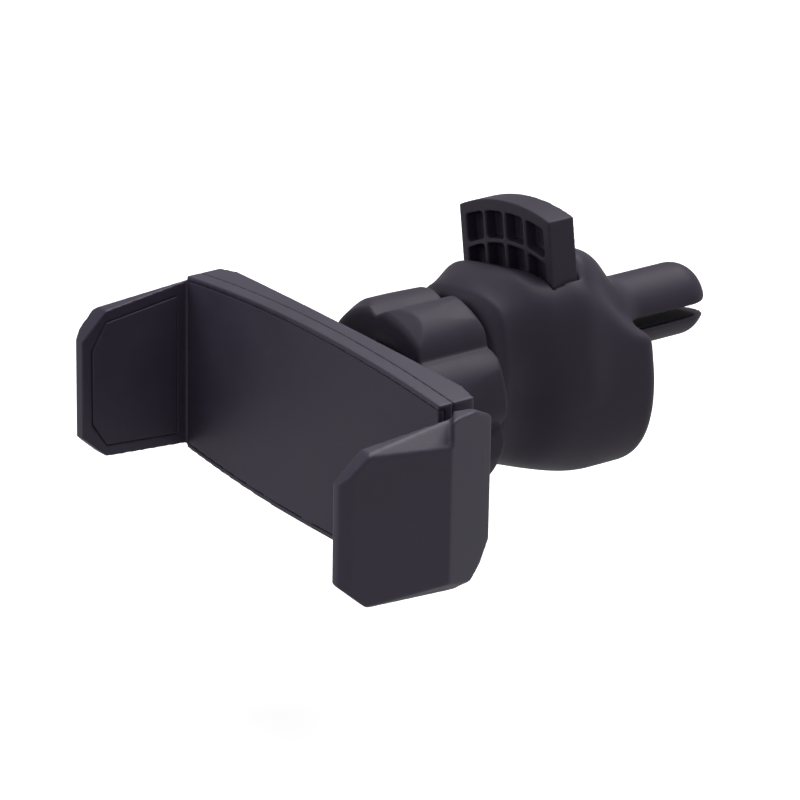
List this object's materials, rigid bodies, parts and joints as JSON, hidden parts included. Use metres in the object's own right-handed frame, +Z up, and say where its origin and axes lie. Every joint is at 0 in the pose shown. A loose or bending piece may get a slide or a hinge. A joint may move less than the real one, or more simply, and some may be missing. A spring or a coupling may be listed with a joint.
{
  "type": "phone holder",
  "caption": "Car phone holder with a spring-loaded sliding jaw, a ball joint under a lobed clamping nut, and a two-prong air vent clip opened by a press tab.",
  "frame": {"origin": "middle of the clip slot at its open end, midway between the two prongs", "axes": "+X across the phone towards the sliding jaw, +Y out of the slot's mouth towards the vent, +Z up"},
  "size_m": [0.0698, 0.0894, 0.0413],
  "materials": {
    "shell_plastic": "fine satin grain",
    "body_plastic": "smooth satin",
    "ball_plastic": "polished",
    "liner_plastic": "smooth",
    "soft_pad": "soft matt",
    "prong_rubber": "matt",
    "steel": "bright zinc"
  },
  "bodies": {
    "head": {"vent_body": "body_plastic", "rear_plate": "body_plastic", "rear_plate_screws": "steel", "upper_prong_pad": "prong_rubber", "press_spring_left": "steel", "press_spring_right": "steel"},
    "nut": {"clamp_nut": "body_plastic"},
    "yaw_cup": {"rear_liner": "liner_plastic"},
    "nod_ring": {"front_liner": "liner_plastic"},
    "cradle": {"front_shell": "shell_plastic", "back_cover": "shell_plastic", "plate_pad": "soft_pad", "fixed_jaw_pad": "soft_pad", "cover_screws": "steel", "ball_stud": "ball_plastic", "return_spring_upper": "steel", "return_spring_lower": "steel"},
    "slider": {"sliding_jaw": "shell_plastic", "sliding_jaw_pad": "soft_pad"},
    "press": {"press_tab": "body_plastic", "lower_prong": "body_plastic", "lower_prong_pad": "prong_rubber", "carriage_pin": "steel"}
  },
  "joints": [
    {"name": "nut_turn", "type": "hinge", "parent": "head", "child": "nut", "pos_m": [0.00052, -0.0528, -0.00326], "axis": [0, 1, 0], "continuous": true},
    {"name": "ball_swing", "type": "hinge", "parent": "head", "child": "yaw_cup", "pos_m": [0.00052, -0.0528, -0.00326], "axis": [0, 0, 1], "range_deg": [-12, 12]},
    {"name": "ball_nod", "type": "hinge", "parent": "yaw_cup", "child": "nod_ring", "pos_m": [0.00052, -0.0528, -0.00326], "axis": [1, 0, 0], "range_deg": [-12, 12]},
    {"name": "ball_spin", "type": "hinge", "parent": "nod_ring", "child": "cradle", "pos_m": [0.00052, -0.0528, -0.00326], "axis": [0, 1, 0], "continuous": true},
    {"name": "jaw_slide", "type": "slide", "parent": "cradle", "child": "slider", "axis": [1, 0, 0], "range_m": [0, 0.025], "stiffness_N_per_m": 120, "springref_m": -0.012, "deforming": ["return_spring_upper", "return_spring_lower"]},
    {"name": "tab_press", "type": "slide", "parent": "head", "child": "press", "axis": [0.1564, 0, -0.9877], "range_m": [0, 0.0045], "stiffness_N_per_m": 800, "springref_m": -0.003, "deforming": ["press_spring_left", "press_spring_right"]}
  ]
}
